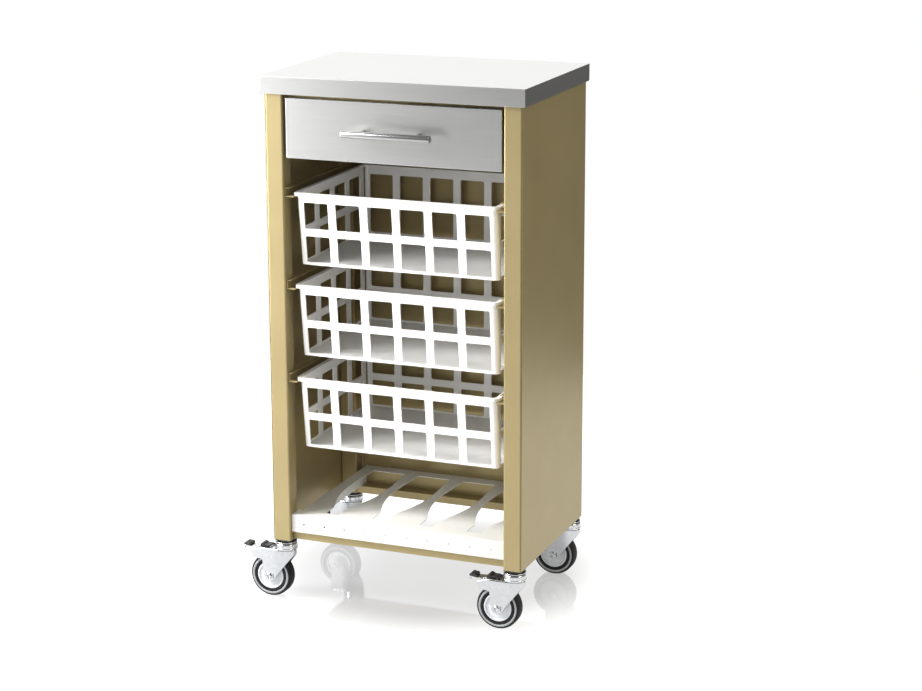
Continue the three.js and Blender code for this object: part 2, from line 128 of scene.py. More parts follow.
def emboss(material, value, depth):
    """Raises the surface by up to depth, in millimetres, on top of any earlier relief."""
    tree = material.node_tree
    bump = add_node(tree, "Bump", Strength=1.0, Distance=depth * MM)
    normal = shader_of(material).inputs["Normal"]
    if normal.is_linked:
        tree.links.new(normal.links[0].from_socket, bump.inputs["Normal"])
    tree.links.new(value, bump.inputs["Height"])
    tree.links.new(bump.outputs["Normal"], normal)


def blend_by_flank(material, level, upright):
    """The first value on faces to the front, rear and top, the second on faces to the sides."""
    tree = material.node_tree
    geometry = add_node(tree, "NewGeometry")
    split = add_node(tree, "SeparateXYZ")
    sideways = tree.nodes.new("ShaderNodeMath")
    sideways.operation = "ABSOLUTE"
    choose = add_node(tree, "Mix")
    tree.links.new(geometry.outputs["Normal"], split.inputs[0])
    tree.links.new(split.outputs["X"], sideways.inputs[0])
    tree.links.new(sideways.outputs[0], choose.inputs["Factor"])
    tree.links.new(level, choose.inputs["A"])
    tree.links.new(upright, choose.inputs["B"])
    return choose.outputs["Result"]


# ---- Materials ------------------------------------------------------------------------------


def shade(color, factor):
    """A darker or lighter version of a colour."""
    return [min(1.0, channel * factor) for channel in color]


def beige_paint():
    """Powder coat with metal flakes: a fine sparkle under a faint orange peel."""
    material = new_material("beige_paint", (0.375, 0.303, 0.154), 0.38, metallic=0.5)
    shader_of(material).inputs["Specular IOR Level"].default_value = 0.2
    tint(material, grain(material, 90, detail=3), (0.36, 0.290, 0.146), (0.39, 0.316, 0.162))
    vary(material, "Roughness", grain(material, 0.5), 0.32, 0.42)
    emboss(material, grain(material, 2.2), 0.02)
    emboss(material, grain(material, 0.35), 0.012)
    return material


def brushed_steel(name, color, roughness):
    """Steel with polishing lines along X, which turn upright on the folded sides."""
    material = new_material(name, color, roughness, metallic=1.0)
    length = 120  # of a line, in widths

    def lines(width):
        level = grain(material, width, (length, 1, 1))
        upright = grain(material, width, (1, 1, length))
        return blend_by_flank(material, level, upright)

    fine, broad = lines(0.25), lines(1.2)
    tint(material, broad, shade(color, 0.965), shade(color, 1.03))
    vary(material, "Roughness", fine, roughness - 0.04, roughness + 0.04)
    emboss(material, fine, 0.004)
    return material


def plated_steel(name, color, roughness, spangle):
    """Bright zinc plate with a soft cloudiness."""
    material = new_material(name, color, roughness, metallic=1.0)
    clouds = grain(material, spangle, detail=3)
    tint(material, clouds, shade(color, 0.90), color)
    vary(material, "Roughness", grain(material, spangle / 3), roughness * 0.7, roughness * 1.4)
    emboss(material, grain(material, 1.2), 0.008)
    return material


def moulded_plastic(name, color, roughness):
    """Plastic with the fine spark texture of its mould and a faint unevenness in its colour."""
    material = new_material(name, color, roughness)
    tint(material, grain(material, 40, detail=3), shade(color, 0.955), color)
    vary(material, "Roughness", grain(material, 1.5), roughness - 0.07, roughness + 0.07)
    emboss(material, grain(material, 0.6), 0.02)
    return material


def white_powder_coat():
    material = new_material("white_powder_coat", (0.67, 0.665, 0.635), 0.42, coat=0.1)
    shader_of(material).inputs["Coat Roughness"].default_value = 0.3
    tint(material, grain(material, 60, detail=3), (0.655, 0.65, 0.62), (0.69, 0.685, 0.655))
    vary(material, "Roughness", grain(material, 2.0), 0.36, 0.50)
    emboss(material, grain(material, 1.8), 0.03)
    return material


def black_rubber():
    material = new_material("black_rubber", (0.018, 0.018, 0.019), 0.62)
    shader_of(material).inputs["Specular IOR Level"].default_value = 0.2
    tint(material, grain(material, 9, detail=4), (0.007, 0.007, 0.008), (0.018, 0.018, 0.018))
    vary(material, "Roughness", grain(material, 3), 0.5, 0.74)
    emboss(material, grain(material, 0.8), 0.03)
    return material


def grey_rubber_and_highlight():
    """The non-marking grey band in a tyre's wall. Its grey is partly the rubber's own colour and partly a painted
    highlight on the wall's rounded slope.
    """
    material = new_material("grey_rubber_and_highlight", (0.30, 0.31, 0.32), 0.5)
    tint(material, grain(material, 6, detail=3), (0.25, 0.26, 0.27), (0.35, 0.36, 0.37))
    vary(material, "Roughness", grain(material, 2), 0.42, 0.6)
    emboss(material, grain(material, 0.8), 0.02)
    return material


def particle_board():
    material = new_material("particle_board", (0.42, 0.29, 0.15), 0.85)
    tint(material, grain(material, 3, (3, 1, 1), detail=4), (0.30, 0.20, 0.10), (0.55, 0.41, 0.23))
    vary(material, "Roughness", grain(material, 2), 0.75, 0.95)
    emboss(material, grain(material, 1.5), 0.12)
    return material


looks = {
    "paint": beige_paint(),
    "worktop": brushed_steel("worktop_steel", (0.60, 0.60, 0.59), 0.34),
    "handle": brushed_steel("handle_steel", (0.43, 0.43, 0.43), 0.24),
    "zinc": plated_steel("zinc_sheet", (0.60, 0.61, 0.62), 0.36, 14),
    "basket": moulded_plastic("white_plastic", (0.87, 0.865, 0.85), 0.42),
    "shelf": white_powder_coat(),
    "chrome": plated_steel("bright_zinc", (0.62, 0.635, 0.65), 0.16, 6),
    "wheel_hub": moulded_plastic("grey_nylon", (0.62, 0.64, 0.66), 0.45),
    "tyre": black_rubber(),
    "black_plastic": moulded_plastic("black_nylon", (0.022, 0.022, 0.023), 0.48),
    "core": particle_board(),
}
# the grey of the tyres' wall bands is partly their own colour and partly a painted highlight
band_and_highlight_look = grey_rubber_and_highlight()

# ---- Outlines and meshes --------------------------------------------------------------------


def mm_box(node):
    """The lowest and highest corners of a CAD node, in millimetres."""
    low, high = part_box(node)
    return low / MM, high / MM


def joint_place(name):
    """Where a joint is, in millimetres."""
    joint = next(j for j in frame["joints"] if j["name"] == name)
    return Vector(joint["pos_m"]) / MM


def mix(low, high, share):
    return low + (high - low) * share


def arc(centre, radius, start, end, steps):
    """Points from angle start to angle end about a centre."""
    turns = [mix(start, end, i / steps) for i in range(steps + 1)]
    return [(centre[0] + radius * math.cos(t), centre[1] + radius * math.sin(t)) for t in turns]


def rounded(corners, steps=4):
    """A closed outline through (a, b, radius) corners, each rounded by its own radius."""
    outline = []
    for i, (a, b, radius) in enumerate(corners):
        corner = Vector((a, b))
        back = (Vector(corners[i - 1][:2]) - corner).normalized()
        ahead = (Vector(corners[(i + 1) % len(corners)][:2]) - corner).normalized()
        if radius == 0:
            outline.append((a, b))
            continue
        half = back.angle(ahead) / 2
        centre = corner + (back + ahead).normalized() * radius / math.sin(half)
        start = corner + back * radius / math.tan(half) - centre
        end = corner + ahead * radius / math.tan(half) - centre
        first = math.atan2(start.y, start.x)
        swing = math.remainder(math.atan2(end.y, end.x) - first, 2 * math.pi)
        outline += arc(centre, radius, first, first + swing, steps)
    return outline


def window(left, low, right, high, radius):
    """A rectangle with rounded corners."""
    sharp = ((left, low), (right, low), (right, high), (left, high))
    return rounded([(a, b, radius) for a, b in sharp], steps=3)


def to_mesh(name, shape):
    """A mesh in metres from a shape drawn in millimetres."""
    bmesh.ops.remove_doubles(shape, verts=shape.verts, dist=MERGE)
    bmesh.ops.scale(shape, vec=(MM, MM, MM), verts=shape.verts)
    mesh = bpy.data.meshes.new(name)
    shape.to_mesh(mesh)
    shape.free()
    for polygon in mesh.polygons:
        polygon.use_smooth = True
    return mesh


def lathe(name, outline, sides, axis="Z"):
    """A closed outline of (radius, height) points turned about an axis."""
    shape = bmesh.new()
    rings = []
    for k in range(sides):
        turn = 2 * math.pi * k / sides
        across, up = math.cos(turn), math.sin(turn)
        rings.append([shape.verts.new((r * across, r * up, h)) for r, h in outline])
    for k, ring in enumerate(rings):
        ahead = rings[(k + 1) % sides]
        for i in range(len(outline)):
            shape.faces.new((ring[i - 1], ring[i], ahead[i], ahead[i - 1]))
    bmesh.ops.remove_doubles(shape, verts=shape.verts, dist=MERGE)
    bmesh.ops.recalc_face_normals(shape, faces=shape.faces)
    turns = {"X": Matrix.Rotation(QUARTER, 3, "Y"), "Y": Matrix.Rotation(-QUARTER, 3, "X")}
    if axis in turns:
        bmesh.ops.rotate(shape, verts=shape.verts, matrix=turns[axis])
    mesh = to_mesh(name, shape)
    mesh.set_sharp_from_angle(angle=SHARP)
    return mesh


def prism(name, outline, front, rear):
    """An outline of (x, z) points carried along Y."""
    shape = bmesh.new()
    near = [shape.verts.new((x, front, z)) for x, z in outline]
    far = [shape.verts.new((x, rear, z)) for x, z in outline]
    shape.faces.new(near)
    shape.faces.new(far)
    for i in range(len(outline)):
        shape.faces.new((near[i - 1], near[i], far[i], far[i - 1]))
    bmesh.ops.recalc_face_normals(shape, faces=shape.faces)
    return to_mesh(name, shape)


def fill(shape, loops, place):
    """Fills the first closed loop of (a, b) points, with the others as holes."""
    edges = []
    for loop in loops:
        corners = [shape.verts.new(place(a, b)) for a, b in loop]
        edges += [shape.edges.new((corners[i - 1], corners[i])) for i in range(len(corners))]
    bmesh.ops.triangle_fill(shape, use_beauty=True, use_dissolve=False, edges=edges)


def strip(shape, first, second):
    """Faces between two rows of points of the same length."""
    for i in range(1, len(first)):
        corners = [first[i - 1], first[i], second[i], second[i - 1]]
        shape.faces.new([shape.verts.new(point) for point in corners])


def sheet_mesh(name, shape):
    """A mesh of one joined sheet whose flat top, or most of it, faces up."""
    bmesh.ops.remove_doubles(shape, verts=shape.verts, dist=MERGE * 10)
    bmesh.ops.recalc_face_normals(shape, faces=shape.faces)
    upward = sum(face.normal.z * face.calc_area() for face in shape.faces)
    if upward < 0:
        bmesh.ops.reverse_faces(shape, faces=shape.faces)
    return to_mesh(name, shape)


# ---- Pieces ---------------------------------------------------------------------------------


def add_piece(name, mesh, slot, body, place=(0, 0, 0), replaces=()):
    """Shows a mesh at a place in millimetres, on a body, in its own finish or its slot's."""
    if not mesh.materials:
        mesh.materials.append(looks[slot])
    piece = bpy.data.objects.new(name, mesh)
    bpy.context.scene.collection.objects.link(piece)
    piece.location = Vector(place) * MM
    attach(piece, body)
    if replaces:
        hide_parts(*replaces)
    return piece


def thicken(piece, thickness):
    """Gives a sheet its thickness, on the side away from its normals."""
    solid = piece.modifiers.new("thickness", "SOLIDIFY")
    solid.thickness = thickness * MM
    solid.offset = -1
    solid.use_even_offset = True
    solid.use_quality_normals = True


def soften(piece, width, segments=2):
    """Rounds the sharp edges by a width in millimetres and shades the faces flat between them."""
    bevel = piece.modifiers.new("edges", "BEVEL")
    bevel.width = width * MM
    bevel.segments = segments
    bevel.limit_method = "ANGLE"
    bevel.angle_limit = SHARP
    normals = piece.modifiers.new("normals", "WEIGHTED_NORMAL")
    normals.keep_sharp = True


# ---- Handle ---------------------------------------------------------------------------------


def handle_bar():
    low, high = mm_box("handle_bar")
    radius = (high.z - low.z) / 2
    half = (high.x - low.x) / 2
    chamfer = 0.9
    outline = rounded([
        (0, -half, 0), (radius, -half, chamfer), (radius, half, chamfer), (0, half, 0),
    ])
    mesh = lathe("handle_bar_mesh", outline, sides=48, axis="X")
    add_piece("bar", mesh, "handle", "drawer", (low + high) / 2, ["handle_bar"])


def handle_standoffs():
    """Turned posts with a small foot, which run into the back of the bar."""
    bar_low, bar_high = mm_box("handle_bar")
    for side in SIDES:
        node = f"handle_standoff_{side}"
        low, high = mm_box(node)
        radius = (high.x - low.x) / 2
        length = high.y - (bar_low.y + bar_high.y) / 2
        outline = rounded([
            (0, 0, 0), (radius - 0.5, 0, 0), (radius - 0.5, length - 3, 1),
            (radius, length - 1.5, 0.5), (radius, length, 0.3), (0, length, 0),
        ])
        mesh = lathe(f"standoff_{side}_mesh", outline, sides=32, axis="Y")
        middle = (low + high) / 2
        place = (middle.x, high.y - length, middle.z)
        add_piece(f"standoff_{side}", mesh, "handle", "drawer", place, [node])


# ---- Baskets --------------------------------------------------------------------------------

basket_wall = 2.5
side_flange, front_flange, rear_flange = 5.5, 4.5, 3.0
rim_lip = 5.0
side_draft, front_draft, rear_draft = 0.7, 13.6, 1.0
mouth_corner, rim_corner, corner_steps = 5.5, 11.0, 6
per_corner = corner_steps + 1  # points on a corner's arc
rim_band, opening_height, middle_bar = 15.9, 45.1, 12.5
front_columns, front_pitch, front_opening = 6, 56.7, 43.2
side_columns, side_pitch, side_opening, side_first = 4, 61.75, 46.75, 27.5
opening_corner = 2.4
slot_low, slot_high = -114.4, -basket_wall


def corner_ring(left, front, right, rear, radius):
    """Points round a rectangle: the arc of each corner, from the front left one on."""
    centres = (
        (left + radius, front + radius), (right - radius, front + radius),
        (right - radius, rear - radius), (left + radius, rear - radius),
    )
    points = []
    for k, centre in enumerate(centres):
        start = (k + 2) * QUARTER
        points += arc(centre, radius, start, start + QUARTER, corner_steps)
    return points


def lattice_rows():
    """The lowest and highest edge of each row of openings."""
    high = -rim_band
    rows = []
    for _ in range(2):
        rows.append((high - opening_height, high))
        high -= opening_height + middle_bar
    return rows


def openings(first, pitch, width, columns):
    holes = []
    for low, high in lattice_rows():
        for i in range(columns):
            left = first + i * pitch
            holes.append(window(left, low, left + width, high, opening_corner))
    return holes


def basket_rings():
    """Points round a basket's inner face, at its mouth and at its floor."""
    low, high = mm_box("basket_top")
    mouth = (
        low.x + side_flange + basket_wall, low.y + front_flange + basket_wall,
        high.x - side_flange - basket_wall, high.y - rear_flange - basket_wall,
    )
    base = (
        mouth[0] + side_draft, mouth[1] + front_draft, mouth[2] - side_draft, mouth[3] - rear_draft,
    )
    return corner_ring(*mouth, mouth_corner), corner_ring(*base, mouth_corner)


def basket_corners(shape, column, levels):
    """The rear corners leave a slot on the half that belongs to the side wall."""
    for k in range(4):
        for step in range(corner_steps):
            i = k * per_corner + step
            slotted = k == 2 and step < corner_steps / 2 or k == 3 and step >= corner_steps / 2
            for row in range(3):
                if slotted and row == 1:
                    continue
                below, above = levels[row], levels[row + 1]
                strip(shape, [column(i, below), column(i + 1, below)],
                      [column(i, above), column(i + 1, above)])


def basket_walls(shape, column, levels):
    """Wall k runs from the end of corner k to the start of corner k + 1."""
    low, high = mm_box("basket_top")
    middle = (low.x + high.x) / 2
    for k in range(4):
        start = (k + 1) * per_corner - 1
        end = (k + 1) * per_corner % (4 * per_corner)
        along = k % 2  # 0 where the wall runs along X, 1 along Y

        def place(a, z, start=start, along=along):
            point = column(start, z)
            point[along] = a
            return point

        edge = [(column(start, z)[along], z) for z in levels]
        edge += [(column(end, z)[along], z) for z in reversed(levels)]
        if along == 0:
            width = (front_columns - 1) * front_pitch + front_opening
            holes = openings(middle - width / 2, front_pitch, front_opening, front_columns)
        else:
            holes = openings(low.y + side_first, side_pitch, side_opening, side_columns)
        fill(shape, [edge, *holes], place)


def basket_rim(shape, upper):
    """The flange round the mouth, and the lip that hangs from its edge."""
    low, high = mm_box("basket_top")
    brim = corner_ring(low.x, low.y, high.x, high.y, rim_corner)
    rows = [
        [Vector((x, y, z)) for x, y in ring + ring[:1]]
        for ring, z in ((upper, 0), (brim, 0), (brim, -rim_lip))
    ]
    strip(shape, rows[0], rows[1])
    strip(shape, rows[1], rows[2])


def basket_mesh():
    """The inner face of a basket, with the top of its rim at height 0."""
    low, high = mm_box("basket_top")
    floor = low.z - high.z + basket_wall
    levels = (floor, slot_low, slot_high, 0)
    upper, lower = basket_rings()

    def column(i, z):
        """Point i of the ring at height z."""
        share = (z - floor) / -floor
        x, y = (mix(lower[i][axis], upper[i][axis], share) for axis in (0, 1))
        return Vector((x, y, z))

    shape = bmesh.new()
    basket_corners(shape, column, levels)
    basket_walls(shape, column, levels)
    shape.faces.new([shape.verts.new((x, y, floor)) for x, y in lower])
    basket_rim(shape, upper)
    return sheet_mesh("basket_mesh", shape)


def baskets():
    mesh = basket_mesh()
    for place in BASKETS:
        node = f"basket_{place}"
        rim_top = mm_box(node)[1].z
        name = f"lattice_basket_{place}"
        piece = add_piece(name, mesh, "basket", f"{node}_body", (0, 0, rim_top), [node])
        thicken(piece, basket_wall)
        soften(piece, 0.7)


# ---- Bottle shelf ---------------------------------------------------------------------------

shelf_sheet = 1.2
shelf_bend = 2.0
shelf_lip = 31.0
tab_inset, tab_length = 7.0, 26.0
bottle_count, bottle_pitch = 4, 85.7
neck_half, neck_end, neck_start = 12.0, 26.5, 59.5
body_half, shoulder, waist = 34.5, 176.5, 197.5
foot_half, foot = 30.2, 273.5
bend_low, bend_low_half, bend_high = 90.5, 20.0, 115.5
lip_holes, lip_hole_pitch, lip_hole_first = 10, 37.6, 22.8
lip_hole_depth, lip_hole_radius = 16.2, 1.75


def bottle_half():
    """One side of a bottle: (distance from its axis, distance from the shelf's front edge)."""
    ends = Vector((neck_half, neck_start)), Vector((body_half, shoulder))
    bends = Vector((bend_low_half, bend_low)), Vector((body_half, bend_high))
    shoulder_steps = 20
    curve = []
    for i in range(shoulder_steps + 1):
        t = i / shoulder_steps
        u = 1 - t
        point = (
            ends[0] * u**3 + bends[0] * 3 * u * u * t
            + bends[1] * 3 * u * t * t + ends[1] * t**3
        )
        curve.append((point.x, point.y))
    neck_corner, foot_corner = 2.5, 1.5
    tip = arc((neck_half - neck_corner, neck_end + neck_corner), neck_corner, -QUARTER, 0, 4)
    sole = arc((foot_half - foot_corner, foot - foot_corner), foot_corner, 0, QUARTER, 4)
    return [*tip, *curve, (body_half, waist), *sole]


def bottle_hole(axis, front):
    half = bottle_half()
    right = [(axis + a, front + b) for a, b in half]
    left = [(axis - a, front + b) for a, b in reversed(half)]
    return right + left


def folded_edge(shape, start, end, outward, drop):
    """Bends a sheet's straight edge down: from start to end, out along outward, down to drop."""
    rows = []
    bend_steps = 5
    for i in range(bend_steps + 1):
        turn = QUARTER * i / bend_steps
        shift = outward * (shelf_bend * math.sin(turn))
        fall = Vector((0, 0, shelf_bend * (math.cos(turn) - 1)))
        rows.append([start + shift + fall, end + shift + fall])
    rows.append([Vector((p.x, p.y, -drop)) for p in rows[-1]])
    for first, second in zip(rows, rows[1:]):
        strip(shape, first, second)


def bottle_shelf():
    """A sheet with bottle-shaped cut-outs and folded edges, drawn with its top at height 0."""
    low, high = mm_box("bottle_shelf")
    middle = (low.x + high.x) / 2
    bend = shelf_bend
    left, right = low.x + tab_inset + bend, high.x - tab_inset - bend
    front, rear = low.y + bend, high.y
    tab_rear = low.y + tab_length
    plate = [
        (low.x, front), (high.x, front), (high.x, tab_rear), (right, tab_rear),
        (right, rear), (left, rear), (left, tab_rear), (low.x, tab_rear),
    ]
    bottles = [
        bottle_hole(middle + (i - (bottle_count - 1) / 2) * bottle_pitch, low.y)
        for i in range(bottle_count)
    ]
    shape = bmesh.new()
    fill(shape, [plate, *bottles], lambda a, b: (a, b, 0))
    folds = high.z - low.z
    corners = {k: Vector((x, y, 0)) for k, (x, y) in enumerate(plate)}
    folded_edge(shape, corners[3], corners[4], Vector((1, 0, 0)), folds)
    folded_edge(shape, corners[5], corners[6], Vector((-1, 0, 0)), folds)
    folded_edge(shape, corners[0], corners[1], Vector((0, -1, 0)), bend)

    lip = [(low.x, -bend), (low.x, -shelf_lip), (high.x, -shelf_lip), (high.x, -bend)]
    holes = []
    for i in range(lip_holes):
        centre = (low.x + lip_hole_first + i * lip_hole_pitch, -lip_hole_depth)
        holes.append(arc(centre, lip_hole_radius, 0, 2 * math.pi, 16)[:-1])
    fill(shape, [lip, *holes], lambda a, b: (a, low.y, b))
    piece = add_piece(
        "bottle_tray", sheet_mesh("bottle_tray_mesh", shape), "shelf", "cabinet",
        (0, 0, high.z), ["bottle_shelf"],
    )
    thicken(piece, shelf_sheet)
    soften(piece, 0.25)


# ---- Casters --------------------------------------------------------------------------------
# The fork, head and brake are drawn about the swivel axis, with the wheel trailing towards -X.
# The wheel and its axle are drawn about the wheel's centre.

trail, axle_height = 26.0, 37.5
fork_half, fork_sheet, fork_front = 16.5, 2.5, 18.5
crown_top, crown_bend, plate_bend = 87.0, 3.0, -14.0
heel_radius = 9.5
heel_end = 1.8 * math.pi  # where the heel's arc meets the fork's slanted front edge
tyre_radius, tyre_inner = 37.5, 24.3
hub_radius = 24.0


def fork_top(x):
    """Height of the fork's upper edge, which drops towards its tail."""
    level_to, drop, length = -36.0, 6.5, 24.0
    return crown_top - drop * max(0, (level_to - x) / length) ** 2


def fork_lower(x):
    """Height of the fork's slanted front edge."""
    heel_x = -trail + heel_radius * math.cos(heel_end)
    heel_z = axle_height + heel_radius * math.sin(heel_end)
    front_low = 79.0
    slope = (front_low - heel_z) / (fork_front - heel_x)
    return heel_z + (x - heel_x) * slope


def fork_stations():
    """Points round the front half of the fork's plan, with the way out at each."""
    steps = 14
    length = fork_front - plate_bend
    stations = []
    for i in range(steps + 1):
        turn = QUARTER * i / steps
        point = Vector((plate_bend + length * math.sin(turn), -fork_half * math.cos(turn), 0))
        out = Vector((math.sin(turn) / length, -math.cos(turn) / fork_half, 0)).normalized()
        stations.append((point, out))
    return stations


def plate_edge(top, shoulder_of, braked):
    """Outline of one of the fork's plates, below the bend at its top."""
    edge = [(x, fork_top(x) - shoulder_of[x]) for x in reversed(top)]
    if braked:
        edge += rounded([(top[0] + 1, 76, 0), (-56, 68, 4), (-38.5, 66.5, 4), (-37, 52, 0)])
    else:
        edge += [(-38.5, 70), (-37, 52)]
    edge += arc((-trail, axle_height), heel_radius, math.pi, heel_end, 14)
    edge.append((plate_bend, fork_lower(plate_bend)))
    return edge


def fork_mesh(braked):
    """The outer face of a pressed fork: two plates, the wrap that joins them and the crown."""
    tail, crown_rear = (-60.0, -24.0) if braked else (-40.0, -35.0)
    steps = 12
    top = [mix(tail, plate_bend, i / steps) for i in range(steps + 1)]
    shoulder_of = {x: min(crown_bend, 1 + (x - tail) / 3) for x in top}
    edge = plate_edge(top, shoulder_of, braked)
    slit = window(-19.2, 34, -17.6, 42.5, 0.78)

    shape = bmesh.new()
    fill(shape, [edge, slit], lambda a, b: (a, -fork_half, b))
    sideways = Vector((0, -1, 0))
    stations = [(Vector((x, -fork_half, 0)), sideways) for x in top] + fork_stations()[1:]
    rows = []
    bend_steps = 5
    for point, out in stations:
        bend = shoulder_of.get(point.x, crown_bend)
        height = fork_top(point.x)
        row = []
        for i in range(bend_steps + 1):
            turn = QUARTER * i / bend_steps
            inward = out * bend * (math.cos(turn) - 1)
            rise = Vector((0, 0, height - bend + bend * math.sin(turn)))
            row.append(point + inward + rise)
        if row[-1].x >= crown_rear:
            row.append(Vector((row[-1].x, 0, height)))
        rows.append(row)
    for first, second in zip(rows, rows[1:]):
        count = min(len(first), len(second))
        strip(shape, first[:count], second[:count])
    wrap = stations[steps:]
    feet = [point + Vector((0, 0, fork_lower(point.x))) for point, _ in wrap]
    heads = [row[0] for row in rows[steps:]]
    strip(shape, feet, heads)
    geometry = shape.verts[:] + shape.edges[:] + shape.faces[:]
    bmesh.ops.mirror(shape, geom=geometry, axis="Y", merge_dist=MERGE)
    return sheet_mesh("fork_braked_mesh" if braked else "fork_plain_mesh", shape)


def housing_mesh():
    """The swivel head: a turned cup with a rolled foot over the fork's crown."""
    top = 98.0
    return lathe("housing_mesh", rounded([
        (8.3, crown_top, 0), (18.4, crown_top, 0), (18.4, crown_top + 0.7, 0.2),
        (19.5, crown_top + 0.7, 0.5), (19.5, crown_top + 2.6, 0.5), (19.0, crown_top + 3.0, 0.3),
        (19.0, top, 2.6), (15.5, top, 0.4), (15.5, top - 1.2, 0.3), (8.3, top - 1.2, 0.3),
    ]), sides=56)


def seal_mesh():
    """Thin dark dust seal on top of the swivel head."""
    low, high = 97.2, 99.2
    return lathe("seal_mesh", rounded([
        (8.0, low, 0), (15.0, low, 0.2), (15.0, low + 1.1, 0.2), (17.9, low + 1.2, 0.2),
        (17.9, high, 0.2), (8.0, high, 0),
    ]), sides=56)


def race_mesh():
    """Bright upper race, between the seal and the foot of the post."""
    low, high = 99.3, 101.4
    return lathe("race_mesh", rounded([
        (8.0, low, 0), (18.9, low, 0.5), (18.9, high - 0.4, 0.7), (12.0, high, 0.4),
        (8.0, high, 0),
    ]), sides=56)


def kingpin_mesh():
    """Kingpin, with a flange under the post's foot and a bolt that runs up into the post."""
    return lathe("kingpin_mesh", rounded([
        (0, 80.5, 0), (6.5, 80.5, 0.8), (7.8, 84, 0.4), (7.8, 101.6, 0.2), (12, 101.6, 0.3),
        (12, 102.6, 0.2), (5, 102.6, 0.2), (5, 127, 1.0), (0, 127, 0),
    ]), sides=32)


def axle_mesh():
    """Tube rivet through the fork: a domed rim round a dimple at each end."""
    neck, head, rim = 4.0, 5.4, 2.6
    face = fork_half + 0.15
    end = face + rim

    def cap(sign):
        return [
            (neck, sign * face, 0), (head, sign * face, 0.4), (head, sign * (face + 1.2), 0.8),
            (head - 1.6, sign * end, 0.8), (2.9, sign * end, 0.5), (2.4, sign * (end - 2.2), 0.4),
            (0, sign * (end - 2.2), 0),
        ]

    return lathe("axle_mesh", rounded([*reversed(cap(-1)), *cap(1)]), sides=32, axis="Y")


def hub_mesh():
    """Nylon wheel centre: a raised rim round a shallow dish, with a boss at the axle."""
    bore, boss, face = 4.3, 9.0, 13.7
    rim, dish, rim_half = hub_radius, 9.2, 11.2

    def half(sign):
        return [
            (bore, sign * face, 0.3), (boss, sign * face, 0.8), (boss + 1.2, sign * dish, 1.0),
            (rim - 3.6, sign * dish, 1.0), (rim - 2.6, sign * rim_half, 0.6),
            (rim, sign * rim_half, 0.6),
        ]

    return lathe("hub_mesh", rounded([*half(1), *reversed(half(-1))]), sides=72, axis="Y")


def tyre_mesh():
    """Rubber tyre with round shoulders and a groove in each wall for the grey band, which is partly a painted
    highlight.
    """
    groove_low, groove_high, floor = 29.8, 33.6, 10.4

    def half(sign):
        return [
            (tyre_inner, sign * 10.6, 0.3), (groove_low - 1, sign * 11.2, 0.5),
            (groove_low, sign * floor, 0.3), (groove_high, sign * floor, 0.3),
            (groove_high + 0.4, sign * 11.6, 0.5), (tyre_radius - 2.0, sign * 11.0, 1.2),
            (tyre_radius, sign * 7.5, 3.0),
        ]

    return lathe("tyre_mesh", rounded([*half(1), *reversed(half(-1))]), sides=96, axis="Y")


def band_mesh(side):
    """Grey ring that fills the groove in one wall of a tyre. Its grey is partly a painted highlight on the wall.
    """
    low, high, floor, crest = 29.9, 33.5, 10.45, 11.9
    outline = [
        (low, side * floor, 0), (high, side * floor, 0),
        (high, side * (crest - 0.7), 0.6), ((low + high) / 2, side * crest, 2.0),
        (low, side * (crest - 0.7), 0.6),
    ]
    mesh = lathe(f"band_mesh_{side}", rounded(outline), sides=96, axis="Y")
    mesh.materials.append(band_and_highlight_look)
    return mesh


def lever_outline():
    """Side of the brake lever: a bent strip whose outer end is folded down."""
    return rounded([
        (-33, 80.5, 0.5), (-31.5, 82.5, 0.8), (-45, 86.6, 6), (-52, 84.8, 4), (-60.5, 84.2, 3),
        (-75.5, 86.0, 1.5), (-76.8, 85.0, 0.6), (-76.6, 79.7, 0.6), (-74.8, 79.7, 0.6),
        (-73.8, 83.6, 1), (-60.5, 82.2, 3), (-52, 82.8, 4), (-45, 84.4, 6),
    ])


def brake_pedal(side, centre, body):
    """Steel lever with a ribbed pad that locks and a tab that releases."""
    half, pad_half = 9.0, 10.0
    lever = prism(f"lever_mesh_{side}", lever_outline(), -half, half)
    piece = add_piece(f"brake_lever_{side}", lever, "chrome", body, centre, [f"brake_pedal_{side}"])
    soften(piece, 0.4)
    pad = prism(f"pad_mesh_{side}", rounded([
        (-75.6, 86.2, 0.4), (-64.4, 84.8, 0.4), (-64.0, 87.0, 1.0), (-66.0, 88.6, 1.0),
        (-74.2, 89.6, 1.2), (-76.6, 88.6, 0.8),
    ]), -pad_half, pad_half)
    soften(add_piece(f"brake_pad_{side}", pad, "black_plastic", body, centre), 0.7)
    tab = prism(f"tab_mesh_{side}", rounded([
        (-45.8, 86.8, 0.4), (-38.0, 85.0, 0.4), (-27.6, 87.8, 0.4), (-27.6, 89.8, 0.8),
        (-36.8, 89.8, 1.5), (-39.6, 92.2, 1.0), (-43.6, 92.4, 1.0),
    ]), -half, half)
    soften(add_piece(f"release_tab_{side}", tab, "black_plastic", body, centre), 0.6)
    rib_count, rib_width, rib_pitch = 3, 1.2, 2.8
    rib_left, pad_top, pad_fall = -73.2, 89.4, 0.33
    for i in range(rib_count):
        x = rib_left + i * rib_pitch
        z = pad_top - i * pad_fall
        outline = window(x, z - 1, x + rib_width, z + 0.25, 0.3)
        rib = prism(f"rib_mesh_{side}_{i}", outline, -half, half)
        add_piece(f"pad_rib_{side}_{i + 1}", rib, "black_plastic", body, centre)


